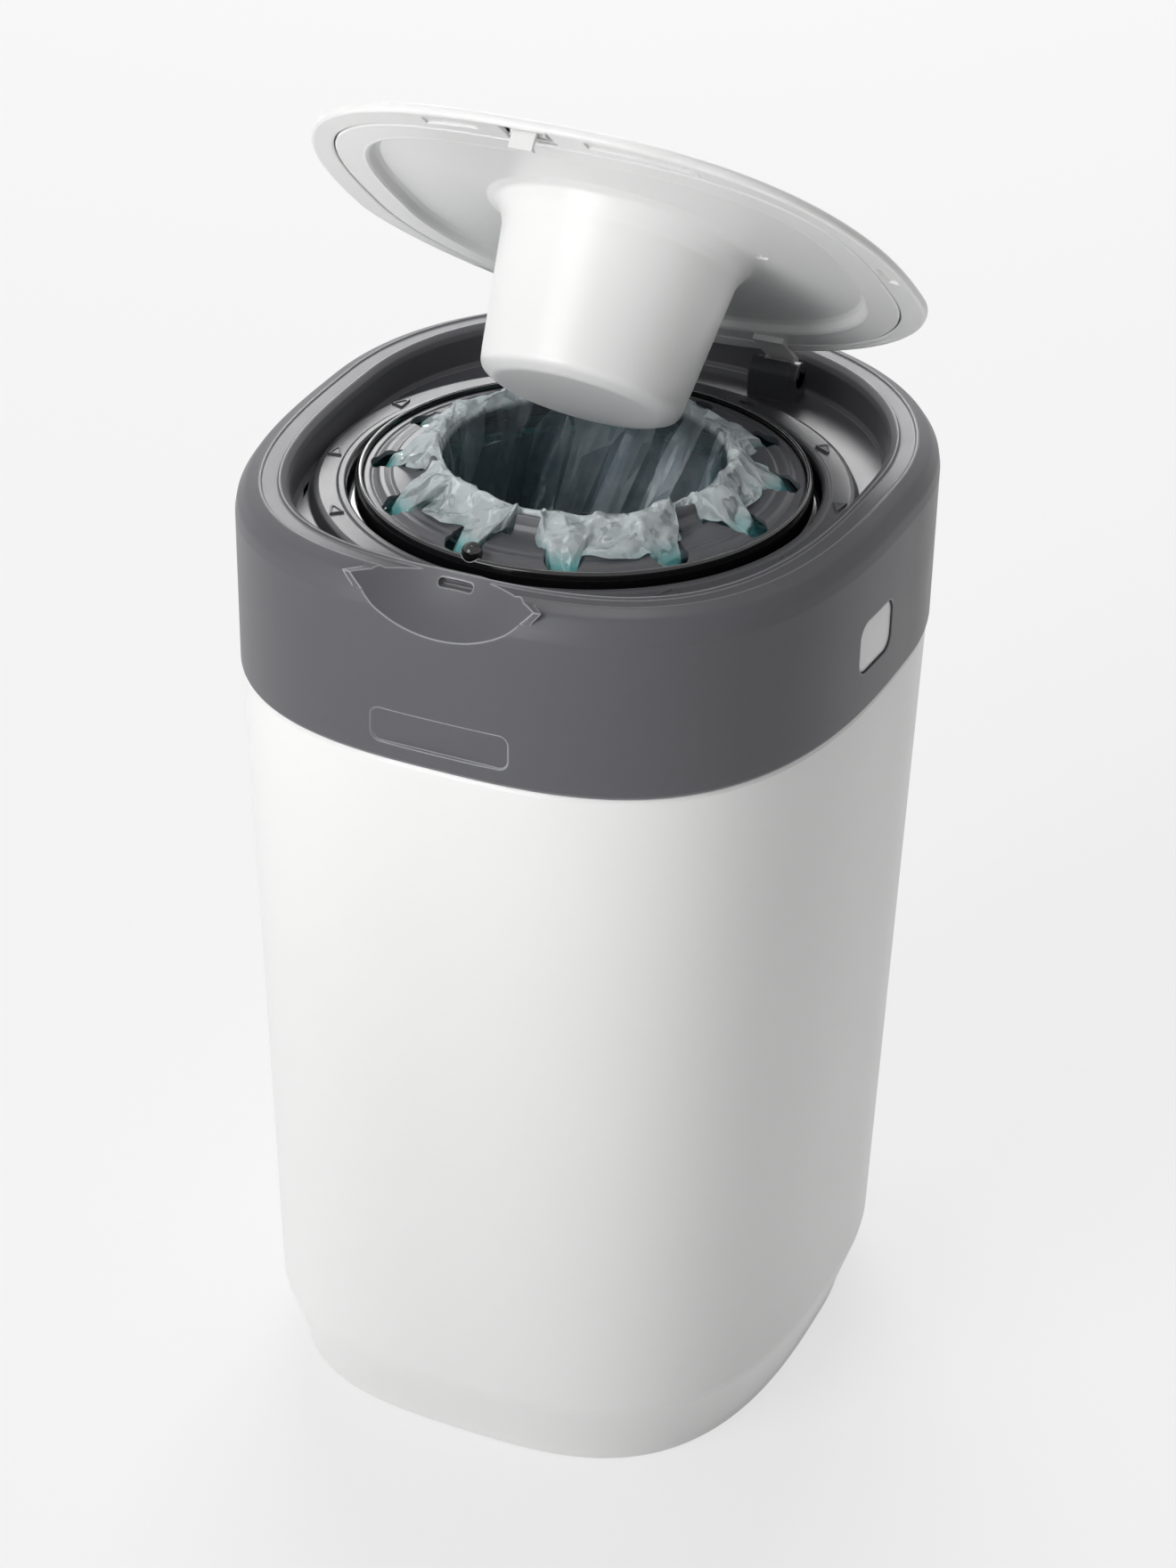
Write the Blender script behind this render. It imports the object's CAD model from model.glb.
import math

import bmesh
import bpy
import mathutils
import numpy as np
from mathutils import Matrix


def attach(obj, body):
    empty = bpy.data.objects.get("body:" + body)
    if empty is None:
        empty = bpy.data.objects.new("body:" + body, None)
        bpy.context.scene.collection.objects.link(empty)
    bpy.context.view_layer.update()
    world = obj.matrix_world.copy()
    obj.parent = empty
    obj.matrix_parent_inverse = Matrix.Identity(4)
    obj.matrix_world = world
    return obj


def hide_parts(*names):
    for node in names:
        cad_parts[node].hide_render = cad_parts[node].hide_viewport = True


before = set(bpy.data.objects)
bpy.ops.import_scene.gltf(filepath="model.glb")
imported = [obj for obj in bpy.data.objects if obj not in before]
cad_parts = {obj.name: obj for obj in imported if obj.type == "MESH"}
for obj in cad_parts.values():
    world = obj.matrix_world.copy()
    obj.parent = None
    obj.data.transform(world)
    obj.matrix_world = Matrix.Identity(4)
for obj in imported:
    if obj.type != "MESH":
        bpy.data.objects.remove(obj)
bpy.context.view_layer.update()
MM = 0.001

# ---------- sizes, in millimetres, the same as the part's source ----------
RIM = 437.0
HEAD_BOTTOM = 357.0
DECK = RIM - 18
ANNULUS = RIM - 12.6
RING_Y = -13.0
LID_PIVOT = (0.0, 113.0, 430.0)
LID_OPEN = math.radians(39.5)
LID_EDGE = RIM + 1.6
SEAM_Z = LID_EDGE + 0.5
LINER_Z = SEAM_Z + 4.6
LINER_TOP = LINER_Z + 1.3
CUP_BOTTOM = LINER_Z - 73
LID_FRONT = -143.5
BUTTON_Y, BUTTON_Z = -23.5, RIM - 50
PLATE_Z = RIM - 65
SHOULDER = HEAD_BOTTOM - 0.6
DISH_C = np.array([0.0, -188.7, 470.5])
DISH_R = 65.4
HINGE_Y, HINGE_Z, HINGE_R, HINGE_PIN_R = 158.0, 352.0, 5.48, 2.5
LID_ARM_R, LID_HOUSING_R, LID_PIN_BORE_R = 4.0, 6.0, 2.05
PLATE_SEAT = RIM - 13
KNOB_ANGLE, KNOB_R = 265.0, 4.35
FINGERS = 12
FINGER_STEP = 360 / FINGERS
AROUND = 256  # points in a row of the head, the lid or the tub


class Plan:
    """A superellipse outline with even steps, whose rows can be pushed in along its normal."""

    def __init__(self, half_w, front, rear, n_front, n_rear, widest_y, count=AROUND):
        t = np.linspace(0, 2 * np.pi, 40001)[:-1]
        s, c = np.sin(t), np.cos(t)
        b = np.where(c > 0, front, rear)
        n = np.where(c > 0, n_front, n_rear)
        x = half_w * np.sign(s) * np.abs(s) ** (2 / n)
        y = -b * np.sign(c) * np.abs(c) ** (2 / n)
        nx = np.sign(x) * np.abs(x / half_w) ** (n - 1) / half_w
        ny = np.sign(y) * np.abs(y / b) ** (n - 1) / b
        length = np.hypot(nx, ny)
        step = np.hypot(np.diff(x, append=x[0]), np.diff(y, append=y[0]))
        at = np.concatenate([[0], np.cumsum(step)])
        want = np.linspace(0, at[-1], count + 1)[:-1]
        pick = np.searchsorted(at[:-1], want).clip(0, len(t) - 1)
        self.p = np.stack([x, y + widest_y], 1)[pick]
        self.n = np.stack([nx / length, ny / length], 1)[pick]
        self.mid = np.array([0.0, widest_y])

    def row(self, inset, z, shrink=1.0):
        p = self.mid + (self.p - inset * self.n - self.mid) * shrink
        return np.column_stack([p, np.full(len(p), z)])

    def toward_circle(self, inset, z, blend, radius):
        """A row between the outline and the ring's circle; each point keeps its angle about the centre."""
        p = self.p - inset * self.n
        a = np.arctan2(p[:, 1] - RING_Y, p[:, 0])
        q = np.stack([radius * np.cos(a), RING_Y + radius * np.sin(a)], 1)
        p = p + (q - p) * blend
        return np.column_stack([p, np.full(len(p), z)])

    def x_at(self, y, inset):
        """x of the right side at y."""
        p = self.p - inset * self.n
        right = p[p[:, 0] > 0]
        order = np.argsort(right[:, 1])
        return np.interp(y, right[order, 1], right[order, 0])

    def y_front(self, x, inset):
        """y of the front at x."""
        p = self.p - inset * self.n
        front = p[p[:, 1] < self.mid[1]]
        order = np.argsort(front[:, 0])
        return np.interp(x, front[order, 0], front[order, 1])


HEAD = Plan(137, 170.5, 134.5, 2.85, 2.1, 18)
LID = Plan(128.3, 143, 119.5, 2.58, 1.68, -0.5)
SEAM = Plan(116.4, 122, 109.5, 3.04, 1.98, -2.9)


def circle(count):
    """Evenly spaced angles once around."""
    return np.linspace(0, 2 * np.pi, count + 1)[:-1]


def fillet(points, segments=5):
    """Rounds the corners of a chain of (a, b, radius)."""
    out = []
    for i, (a, b, r) in enumerate(points):
        p = np.array([a, b], float)
        if r <= 0 or i in (0, len(points) - 1):
            out.append(p)
            continue
        before = np.array(points[i - 1][:2], float) - p
        after = np.array(points[i + 1][:2], float) - p
        lb, la = np.linalg.norm(before), np.linalg.norm(after)
        before, after = before / lb, after / la
        half = math.acos(np.clip(before @ after, -1, 1)) / 2
        cut = min(r / math.tan(half), 0.49 * lb, 0.49 * la)
        start, end = p + before * cut, p + after * cut
        for k in range(segments + 1):
            f = k / segments
            out.append((1 - f) ** 2 * start + 2 * f * (1 - f) * p + f * f * end)
    return out


def smoothstep(a, b, v):
    t = np.clip((v - a) / (b - a), 0, 1)
    return t * t * (3 - 2 * t)


def lattice(u, v, seed, period):
    """Random values from -1 to 1 at the corners of each point's cell, and the point's place in the cell."""
    size = 64
    table = np.random.default_rng(seed).uniform(-1, 1, (size, size))
    iu, iv = np.floor(u).astype(int), np.floor(v).astype(int)
    corners = [table[((iu + i) % (period or size)) % size, (iv + j) % size] for j in (0, 1) for i in (0, 1)]
    return corners, u - iu, v - iv


def noise(u, v, seed, period=None):
    """Value noise from -1 to 1, repeating in u after a whole number of cells if period is given."""
    (a, b, c, d), fu, fv = lattice(u, v, seed, period)
    fu, fv = smoothstep(0, 1, fu), smoothstep(0, 1, fv)
    low = a * (1 - fu) + b * fu
    high = c * (1 - fu) + d * fu
    return low * (1 - fv) + high * fv


def facets(u, v, seed, period=None):
    """Noise from -1 to 1 made of flat triangles with sharp creases between them, as in crumpled film."""
    (a, b, c, d), fu, fv = lattice(u, v, seed, period)
    near = a + fu * (b - a) + fv * (c - a)
    far = d + (1 - fu) * (c - d) + (1 - fv) * (b - d)
    return np.where(fu + fv < 1, near, far)


def ripple(kind, u, count, v, seed, drift=0.0):
    """Noise or facets with count cells once around, at v along the film; drift slants them."""
    return kind(u * count + drift, 0 * u + v, seed, count)


# ---------- meshes ----------


def mesh_object(name, verts, faces, material=None, smooth_angle=35):
    mesh = bpy.data.meshes.new(name)
    mesh.from_pydata((np.asarray(verts) * MM).tolist(), [], faces)
    mesh.validate()
    obj = bpy.data.objects.new(name, mesh)
    bpy.context.scene.collection.objects.link(obj)
    resmooth(obj, smooth_angle)
    if material:
        paint(obj, material)
    return obj


def paint(obj, material):
    obj.data.materials.clear()
    obj.data.materials.append(material)


def resmooth(obj, angle=35):
    """Smooth shading, with sharp edges where faces meet at more than the angle, or none where it is 0."""
    mesh = obj.data
    mesh.polygons.foreach_set("use_smooth", [True] * len(mesh.polygons))
    if angle:
        mesh.set_sharp_from_angle(angle=math.radians(angle))
    return obj


def grid(rows, loop_rows=False, loop_cols=True, cap_start=False, cap_end=False):
    """(verts, faces) of a grid of rows."""
    rows = [np.asarray(r) for r in rows]
    n, m = len(rows), len(rows[0])
    verts = np.concatenate(rows)
    faces = []
    for i in range(n if loop_rows else n - 1):
        a, b = i * m, ((i + 1) % n) * m
        for j in range(m if loop_cols else m - 1):
            k = (j + 1) % m
            faces.append((a + j, a + k, b + k, b + j))
    if cap_start:
        faces.append(tuple(range(m - 1, -1, -1)))
    if cap_end:
        faces.append(tuple((n - 1) * m + j for j in range(m)))
    return verts, faces


def join(parts):
    verts, faces, base = [], [], 0
    for v, f in parts:
        verts.append(np.asarray(v))
        faces += [tuple(i + base for i in face) for face in f]
        base += len(v)
    return np.concatenate(verts), faces


def turned(section, count=AROUND, centre=(0.0, RING_Y)):
    """A section of (r, z) turned about an upright axis."""
    a = circle(count)
    rows = [
        np.column_stack([centre[0] + r * np.cos(a), centre[1] + r * np.sin(a), np.full(count, z)])
        for r, z in section
    ]
    return grid(rows, loop_rows=True)


def rounded_rect(w, h, r, per_corner=10):
    out = []
    for cx, cy, a0 in ((1, 1, 0), (-1, 1, 90), (-1, -1, 180), (1, -1, 270)):
        for k in range(per_corner + 1):
            a = math.radians(a0 + 90 * k / per_corner)
            out.append((cx * (w / 2 - r) + r * math.cos(a), cy * (h / 2 - r) + r * math.sin(a)))
    return np.array(out)


def bar(x0, x1, y, z, r, count=40, chamfer=0.4):
    """A round bar along X with chamfered ends."""
    a = circle(count)
    rows = []
    for x, rr in ((x0, r - chamfer), (x0 + chamfer, r), (x1 - chamfer, r), (x1, r - chamfer)):
        rows.append(np.column_stack([np.full(count, x), y + rr * np.cos(a), z + rr * np.sin(a)]))
    return grid(rows, cap_start=True, cap_end=True)


def prism(outline, axis, lo, hi):
    """A prism of a 2-D outline along an axis: 0 takes (y, z), 1 takes (x, z), 2 takes (x, y)."""
    outline = np.asarray(outline, float)
    rows = []
    for v in (lo, hi):
        rows.append(np.insert(outline, axis, v, axis=1))
    return grid(rows, cap_start=True, cap_end=True)


def box(x0, x1, y0, y1, z0, z1):
    return prism([(x0, y0), (x1, y0), (x1, y1), (x0, y1)], 2, z0, z1)


def sphere(centre, r, rings=64, count=96):
    a = circle(count)
    rows = []
    for i in range(1, rings):
        t = math.pi * i / rings
        rows.append(np.column_stack([
            centre[0] + r * math.sin(t) * np.cos(a), centre[1] + r * math.sin(t) * np.sin(a),
            np.full(count, centre[2] - r * math.cos(t))]))
    return grid(rows, cap_start=True, cap_end=True)


def on_side(side, x0, x1):
    """The two x in rising order, on the left side (-1) or the right one (1)."""
    return sorted((side * x0, side * x1))


def cut(obj, *tools):
    """Takes tools out of obj, or adds or keeps them. A tool is (verts, faces) or (mode, (verts, faces))."""
    for tool in tools:
        mode = "DIFFERENCE"
        if isinstance(tool[0], str):
            mode, tool = tool
        other = mesh_object("tool", tool[0], tool[1])
        recalc(other)
        mod = obj.modifiers.new("cut", "BOOLEAN")
        mod.object, mod.operation, mod.solver = other, mode, "EXACT"
        apply_modifiers(obj)
        bpy.data.objects.remove(other)
    return obj


def recalc(obj):
    bm = bmesh.new()
    bm.from_mesh(obj.data)
    bmesh.ops.recalc_face_normals(bm, faces=bm.faces)
    bm.to_mesh(obj.data)
    bm.free()


def apply_modifiers(obj):
    bpy.context.view_layer.update()
    graph = bpy.context.evaluated_depsgraph_get()
    mesh = bpy.data.meshes.new_from_object(obj.evaluated_get(graph))
    obj.modifiers.clear()
    old, obj.data = obj.data, mesh
    bpy.data.meshes.remove(old)


def points_of(mesh):
    """The mesh's points, in millimetres."""
    co = np.empty(len(mesh.vertices) * 3)
    mesh.vertices.foreach_get("co", co)
    return co.reshape(-1, 3) / MM


def take(obj):
    """(verts, faces) of an object that is used up."""
    part = points_of(obj.data), [tuple(p.vertices) for p in obj.data.polygons]
    bpy.data.objects.remove(obj)
    return part


def swing_open(obj):
    """Turns a piece of the lid from its closed place to where it stands open."""
    mesh = obj.data
    v = points_of(mesh)
    y, z = v[:, 1] - LID_PIVOT[1], v[:, 2] - LID_PIVOT[2]
    c, s = math.cos(LID_OPEN), math.sin(LID_OPEN)
    v[:, 1] = LID_PIVOT[1] + y * c + z * s
    v[:, 2] = LID_PIVOT[2] - y * s + z * c
    mesh.vertices.foreach_set("co", (v * MM).ravel())
    mesh.update()


# ---------- materials ----------


class Nodes:
    """Short names for building the nodes of a material, or of the world."""

    def __init__(self, name, world=False):
        self.material = (bpy.data.worlds if world else bpy.data.materials).new(name)
        self.material.use_nodes = True
        self.tree = self.material.node_tree
        self.tree.nodes.clear()
        self.out = self.tree.nodes.new("ShaderNodeOutputWorld" if world else "ShaderNodeOutputMaterial")
        self.coord = self.add("TexCoord").outputs["Generated" if world else "Object"]

    def add(self, kind, inputs=None, **props):
        node = self.tree.nodes.new("ShaderNode" + kind)
        for key, value in props.items():
            setattr(node, key, value)
        for key, value in (inputs or {}).items():
            if isinstance(value, bpy.types.NodeSocket):
                self.tree.links.new(value, node.inputs[key])
            else:
                node.inputs[key].default_value = value
        return node

    def math(self, operation, a, b, c=0.0):
        return self.add("Math", {0: a, 1: b, 2: c}, operation=operation).outputs["Value"]

    def vector(self, operation, a, b=(0, 0, 0), c=(0, 0, 0)):
        return self.add("VectorMath", {0: a, 1: b, 2: c}, operation=operation).outputs["Vector"]

    def noise(self, scale, detail=3.0, rough=0.5):
        return self.add("TexNoise", {"Vector": self.coord, "Scale": scale, "Detail": detail,
                                     "Roughness": rough}).outputs["Fac"]

    def cells(self, vector, scale):
        """A random colour for each cell of a Voronoi pattern."""
        return self.add("TexVoronoi", {"Vector": vector, "Scale": scale}).outputs["Color"]

    def ramp(self, fac, low, high, a=0.0, b=1.0):
        return self.add("MapRange", {"Value": fac, "From Min": a, "From Max": b, "To Min": low,
                                     "To Max": high}).outputs["Result"]

    def mix(self, fac, a, b):
        node = self.tree.nodes.new("ShaderNodeMix")
        node.data_type = "RGBA"
        for key, value in ((0, fac), (6, a), (7, b)):
            if isinstance(value, bpy.types.NodeSocket):
                self.tree.links.new(value, node.inputs[key])
            else:
                node.inputs[key].default_value = value
        return node.outputs[2]

    def bump(self, height, strength, distance, normal=None):
        inputs = {"Height": height, "Strength": strength, "Distance": distance}
        if normal is not None:
            inputs["Normal"] = normal
        return self.add("Bump", inputs).outputs["Normal"]

    def surface(self, shader):
        self.tree.links.new(shader, self.out.inputs["Surface"])
        return self.material


def opaque(colour, dim=1.0):
    return tuple(c * dim for c in colour) + (1.0,)


def plastic(name, colour, rough, grain=0.0, grain_scale=2200.0, round_edge=0.0, coat=0.0, specular=0.5,
            vary=0.03, edge=None):
    """Moulded plastic: slight colour and gloss changes, a fine grain and softly rounded edges.

    round_edge is in millimetres. edge is the colour of the worn line along sharp edges.
    """
    n = Nodes(name)
    cloud = n.noise(14.0, 1.0)
    base = n.mix(n.ramp(cloud, 0, 1, 0.15, 0.85), opaque(colour, 1 - vary), opaque(colour))
    roughness = n.ramp(n.noise(30.0, 1.5), rough * 0.9, rough * 1.1, 0.15, 0.85)
    normal = None
    if round_edge:
        normal = n.add("Bevel", {"Radius": round_edge * MM}, samples=6).outputs["Normal"]
    if edge:
        true = n.add("NewGeometry").outputs["Normal"]
        same = n.add("VectorMath", {0: normal, 1: true}, operation="DOT_PRODUCT").outputs["Value"]
        base = n.mix(n.ramp(same, 1, 0, 0.93, 0.995), base, opaque(edge))
    if grain:
        normal = n.bump(n.noise(grain_scale, 2.0), grain, 0.0002, normal)
    inputs = {"Base Color": base, "Roughness": roughness, "Specular IOR Level": specular}
    if coat:
        inputs["Coat Weight"] = coat
        inputs["Coat Roughness"] = 0.12
    if normal is not None:
        inputs["Normal"] = normal
    return n.surface(n.add("BsdfPrincipled", inputs).outputs["BSDF"])


def metal(name, colour, rough):
    n = Nodes(name)
    fine = n.noise(900.0, 2.0)
    roughness = n.ramp(fine, rough * 0.8, rough * 1.3, 0.3, 0.7)
    normal = n.bump(fine, 0.1, 0.0001)
    return n.surface(n.add("BsdfPrincipled", {"Base Color": opaque(colour), "Metallic": 1.0,
                                              "Roughness": roughness, "Normal": normal}).outputs["BSDF"])


def crumple(n, pattern, strength):
    """Tilts the surface's normal by a different amount in each cell of a pattern, as flat facets."""
    tilt = n.vector("SUBTRACT", pattern, (0.5, 0.5, 0.5))
    tilt = n.add("VectorMath", {0: tilt, "Scale": strength}, operation="SCALE").outputs["Vector"]
    normal = n.add("NewGeometry").outputs["Normal"]
    return n.vector("NORMALIZE", n.vector("ADD", normal, tilt))


def film_material(name, inside, outside, deep, see_through):
    """Thin crinkled film: pale on top, teal where it dips between the fingers, clearer down the throat.

    see_through is the share of clear film inside the throat and outside it.
    """
    throat_r, large_cell, small_cell = 0.0593, 82.0, 330.0
    n = Nodes(name)
    broad = n.noise(70.0, 5.0, 0.6)
    axis = n.vector("SUBTRACT", n.coord, (0, RING_Y * MM, 0))
    flat = n.vector("MULTIPLY", axis, (1, 1, 0))
    radius = n.add("VectorMath", {0: flat}, operation="LENGTH").outputs["Value"]
    split = n.add("SeparateXYZ", {0: axis})
    height = split.outputs["Z"]
    out = n.ramp(radius, 0, 1, throat_r - 0.0005, throat_r + 0.0005)

    # down the throat: long slanted panels
    turn = n.math("ARCTAN2", split.outputs["Y"], split.outputs["X"])
    across = n.math("MULTIPLY_ADD", turn, 0.06, n.ramp(height, 0, 0.4))
    panel_at = n.add("CombineXYZ", {0: across, 1: n.ramp(height, 0, 0.14)}).outputs["Vector"]
    panel, streak = n.cells(panel_at, large_cell), n.cells(panel_at, small_cell)

    # outside: facets drawn out along the radius, with pale ridges between them
    wave = n.add("TexNoise", {"Vector": n.coord, "Scale": 60.0, "Detail": 2.0}).outputs["Color"]
    bent = n.vector("MULTIPLY_ADD", wave, (0.012, 0.012, 0.012), n.coord)
    drawn = n.add("CombineXYZ", {0: turn, 1: n.ramp(radius, 0, 4.5), 2: n.ramp(height, 0, 6)})
    drawn = n.vector("MULTIPLY_ADD", wave, (0.16, 0.16, 0.16), drawn.outputs["Vector"])
    facet = 11.0
    cell, fine = n.cells(drawn, facet), n.cells(bent, small_cell)
    ridge = n.add("TexVoronoi", {"Vector": drawn, "Scale": facet}, feature="DISTANCE_TO_EDGE")
    ridge = n.math("MULTIPLY", n.ramp(ridge.outputs["Distance"], 1, 0, 0.0, 0.035), out)

    large, small = n.mix(out, panel, cell), n.mix(out, streak, fine)
    normal = crumple(n, n.mix(0.35, large, small), 1.3)
    normal = n.bump(n.noise(260.0, 4.0, 0.65), 0.3, 0.0006, normal)
    level = n.add("SeparateXYZ", {0: large}).outputs["X"]
    top = n.mix(n.ramp(level, 0, 1, 0.1, 0.9), opaque(outside, 0.8), opaque(outside))
    top = n.mix(n.ramp(height, 1, 0, 0.4255, 0.4315), top, opaque(deep))
    throat = n.mix(n.ramp(level, 0, 1, 0.2, 0.95), opaque(inside, 0.5), opaque(inside))
    colour = n.mix(out, throat, top)
    colour = n.mix(n.ramp(ridge, 0, 0.5), colour, (0.95, 0.98, 0.99, 1))
    sheen = n.add("BsdfPrincipled", {"Base Color": colour, "Roughness": 0.17, "Specular IOR Level": 0.8,
                                     "Normal": normal}).outputs["BSDF"]
    glow = n.add("BsdfTranslucent", {"Color": colour, "Normal": normal}).outputs["BSDF"]
    clear = n.add("BsdfTransparent", {"Color": (0.87, 0.94, 0.96, 1)}).outputs["BSDF"]
    body = n.add("MixShader", {0: 0.18, 1: sheen, 2: glow}).outputs["Shader"]
    cloud = n.math("MULTIPLY", n.ramp(broad, 0.8, 1.2, 0.3, 0.7), n.ramp(level, 1.15, 0.65))
    cloud = n.math("MULTIPLY", cloud, n.ramp(ridge, 1, 0.75))
    through = n.math("MULTIPLY", n.ramp(out, *see_through), cloud)
    return n.surface(n.add("MixShader", {0: through, 1: body, 2: clear}).outputs["Shader"])


WHITE = plastic("white_plastic", (0.86, 0.86, 0.855), 0.36, 0.05, 1600.0, 0.6, vary=0.012)
LINER = plastic("liner_plastic", (0.84, 0.84, 0.835), 0.32, 0.02, 900.0, 0.5, vary=0.008)
CHARCOAL = plastic("charcoal_plastic", (0.108, 0.108, 0.118), 0.37, 0.3, 2600.0, 1.1, specular=0.3, vary=0.05,
                   edge=(0.45, 0.45, 0.465))
DECK_GREY = plastic("deck_plastic", (0.08, 0.081, 0.09), 0.33, 0.25, 2600.0, 0.5, vary=0.06)
DARK = plastic("dark_plastic", (0.03, 0.03, 0.033), 0.4, 0.2, 2000.0, 0.4, vary=0.06)
BLACK = plastic("gloss_black_plastic", (0.006, 0.006, 0.007), 0.13, 0.0, 0, 0.5, vary=0.05, coat=0.4,
                edge=(0.8, 0.8, 0.81))
FINGER = plastic("finger_plastic", (0.125, 0.127, 0.138), 0.31, 0.12, 1500.0, 0.5, vary=0.08)
RUBBER = plastic("soft_rubber", (0.02, 0.02, 0.021), 0.6, 0.2, 1200.0, 0.0)
TRAY = plastic("tray_plastic", (0.1, 0.16, 0.18), 0.35, 0.1, 1500.0, 0.0)
BUTTON = plastic("button_plastic", (0.8, 0.8, 0.8), 0.3, 0.05, 1500.0, 0.5, vary=0.012)
STEEL = metal("steel", (0.62, 0.63, 0.65), 0.3)
FILM = film_material("film", (0.66, 0.74, 0.8), (0.88, 0.96, 0.98), (0.2, 0.62, 0.63), (0.7, 0.1))
PACK = film_material("film_pack", (0.2, 0.6, 0.62), (0.25, 0.62, 0.64), (0.2, 0.6, 0.62), (0.1, 0.1))


# ---------- tub ----------


def head_rows(section, tallest, steps):
    """Rows of a section around the head's outline. A wall taller than tallest is split into the steps."""
    rows, last = [], None
    for inset, z in section:
        if last is not None and abs(z - last[1]) > tallest:
            for k in range(1, steps):
                f = k / steps
                rows.append(HEAD.row(last[0] + (inset - last[0]) * f, last[1] + (z - last[1]) * f))
        rows.append(HEAD.row(inset, z))
        last = (inset, z)
    return rows


def make_tub():
    section = fillet([
        (35, 2.2, 0), (33, 0.3, 0.5), (23.4, 0.0, 1), (19.6, 0.4, 1.6), (18.6, 6, 6), (9.8, 34, 1.3),
        (9.15, 37.5, 2), (1.0, SHOULDER - 2, 0.8), (1.6, SHOULDER, 0.6), (5.5, SHOULDER, 0.6),
        (5.5, SHOULDER + 14.6, 0.6), (8.0, SHOULDER + 14.6, 0.6), (8.0, SHOULDER - 6, 2),
        (3.8, SHOULDER - 14, 2), (12.6, 37, 3), (21.6, 9, 4), (26, 4.6, 0),
    ])
    rows = head_rows(section, 40, 12)
    rows.insert(0, HEAD.row(35, 2.2, 0.3))
    rows.append(HEAD.row(26, 4.6, 0.3))
    verts, faces = grid(rows, cap_start=True, cap_end=True)
    tub = mesh_object("tub_visual", verts, faces, WHITE)
    for side in (-1, 1):
        x0, x1 = on_side(side, 34, 48)
        lug = prism([(141, 346.4), (141, 322), (159.6, 345.2), (163.3, 349.2), (163.3, HINGE_Z),
                     (141, HINGE_Z)], 0, x0, x1)
        cut(tub, ("UNION", lug), ("UNION", bar(x0, x1, HINGE_Y, HINGE_Z, HINGE_R)))
        # window for the button's hook
        cut(tub, box(*on_side(side, 123, 137), -31.5, -15.5, 358.4, 364.8))
    cut(tub, bar(-70, 70, HINGE_Y, HINGE_Z, HINGE_PIN_R))
    paint(tub, WHITE)
    return resmooth(tub)


# ---------- head ----------


def shell_patch(plan, ring2d, centre, o0, o1, side):
    """A closed pad that follows the outline between two insets; its edge is ring2d, in (along, up)."""
    rows = []
    for inset, scales in ((o0, np.linspace(0.02, 1, 9)), (o1, np.linspace(1, 0.02, 9))):
        for s in scales:
            u, z = ring2d[:, 0] * s + centre[0], ring2d[:, 1] * s + centre[1]
            if side == "front":
                rows.append(np.column_stack([u, plan.y_front(u, inset), z]))
            else:
                rows.append(np.column_stack([side * plan.x_at(u, inset), u, z]))
    return grid(rows, cap_start=True, cap_end=True)


def make_collar():
    section = fillet([
        (0.6, HEAD_BOTTOM, 0), (0.0, HEAD_BOTTOM + 0.9, 0.5), (0.0, 410, 0), (0.0, 424.6, 3), (0.9, 429.6, 6),
        (4.4, 434.6, 6), (9.6, RIM - 0.2, 1.2), (10.6, RIM, 0.1), (11.4, RIM - 1.0, 0.1),
        (17.4, RIM - 1.0, 0.3), (18.3, RIM + 0.3, 0.1), (19.2, RIM - 0.1, 0.1), (21.4, RIM - 1.6, 1.6),
        (22.4, RIM - 4, 2),
        (22.6, DECK + 1.6, 1), (24.4, DECK, 1.2), (24.4, DECK - 0.6, 0.2), (20.0, DECK - 0.6, 0.2),
        (19.4, RIM - 6, 1.5), (17, RIM - 3.4, 1), (7.4, RIM - 4, 2), (3.6, RIM - 8, 2), (2.8, RIM - 14, 2),
        (2.8, HEAD_BOTTOM, 0),
    ])
    rows = head_rows(section, 20, 6)
    verts, faces = grid(rows, loop_rows=True)
    collar = mesh_object("head_collar_visual", verts, faces, CHARCOAL)
    recalc(collar)
    # finger scoop: a bowl inside the wall, then the sphere is taken out
    bowl = mesh_object("bowl", *sphere(DISH_C, DISH_R + 2.4, 96, 160))
    recalc(bowl)
    cut(bowl, ("INTERSECT", prism(HEAD.row(1.2, 0)[:, :2], 2, 405, RIM - 1.0)),
        ("INTERSECT", box(-60, 60, -160, -131, 400, 440)))
    cut(collar, ("UNION", take(bowl)), sphere(DISH_C, DISH_R, 120, 200))
    slot = rounded_rect(15, 3.2, 1.5) + np.array([0, 432.4])
    cut(collar, prism(slot, 1, -141, -125))
    # plate recess and button windows
    cut(collar, shell_patch(HEAD, rounded_rect(60, 15, 4), (0, PLATE_Z), -2, 0.8, "front"))
    window = rounded_rect(33, 24, 7)
    for side in (-1, 1):
        cut(collar, shell_patch(HEAD, window, (BUTTON_Y, BUTTON_Z), -2, 8, side))
        x0, x1 = on_side(side, 18, 33.6)
        lug = prism([(150, 354), (156, 354), (HINGE_Y, HINGE_Z), (163.3, HINGE_Z), (162.9, 358), (145, 386),
                     (145, 357)], 0, x0, x1)
        cut(collar, ("UNION", bar(x0, x1, HINGE_Y, HINGE_Z, HINGE_R)), ("UNION", minus_plan(lug, HEAD, 0.8)))
    cut(collar, bar(-70, 70, HINGE_Y, HINGE_Z, HINGE_PIN_R + 0.05))
    paint(collar, CHARCOAL)
    return resmooth(collar, 40)


def minus_plan(part, plan, inset):
    """The part without what lies inside the outline."""
    obj = mesh_object("part", *part)
    recalc(obj)
    cut(obj, prism(plan.row(inset, 0)[:, :2], 2, 200, 500))
    return take(obj)


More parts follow.
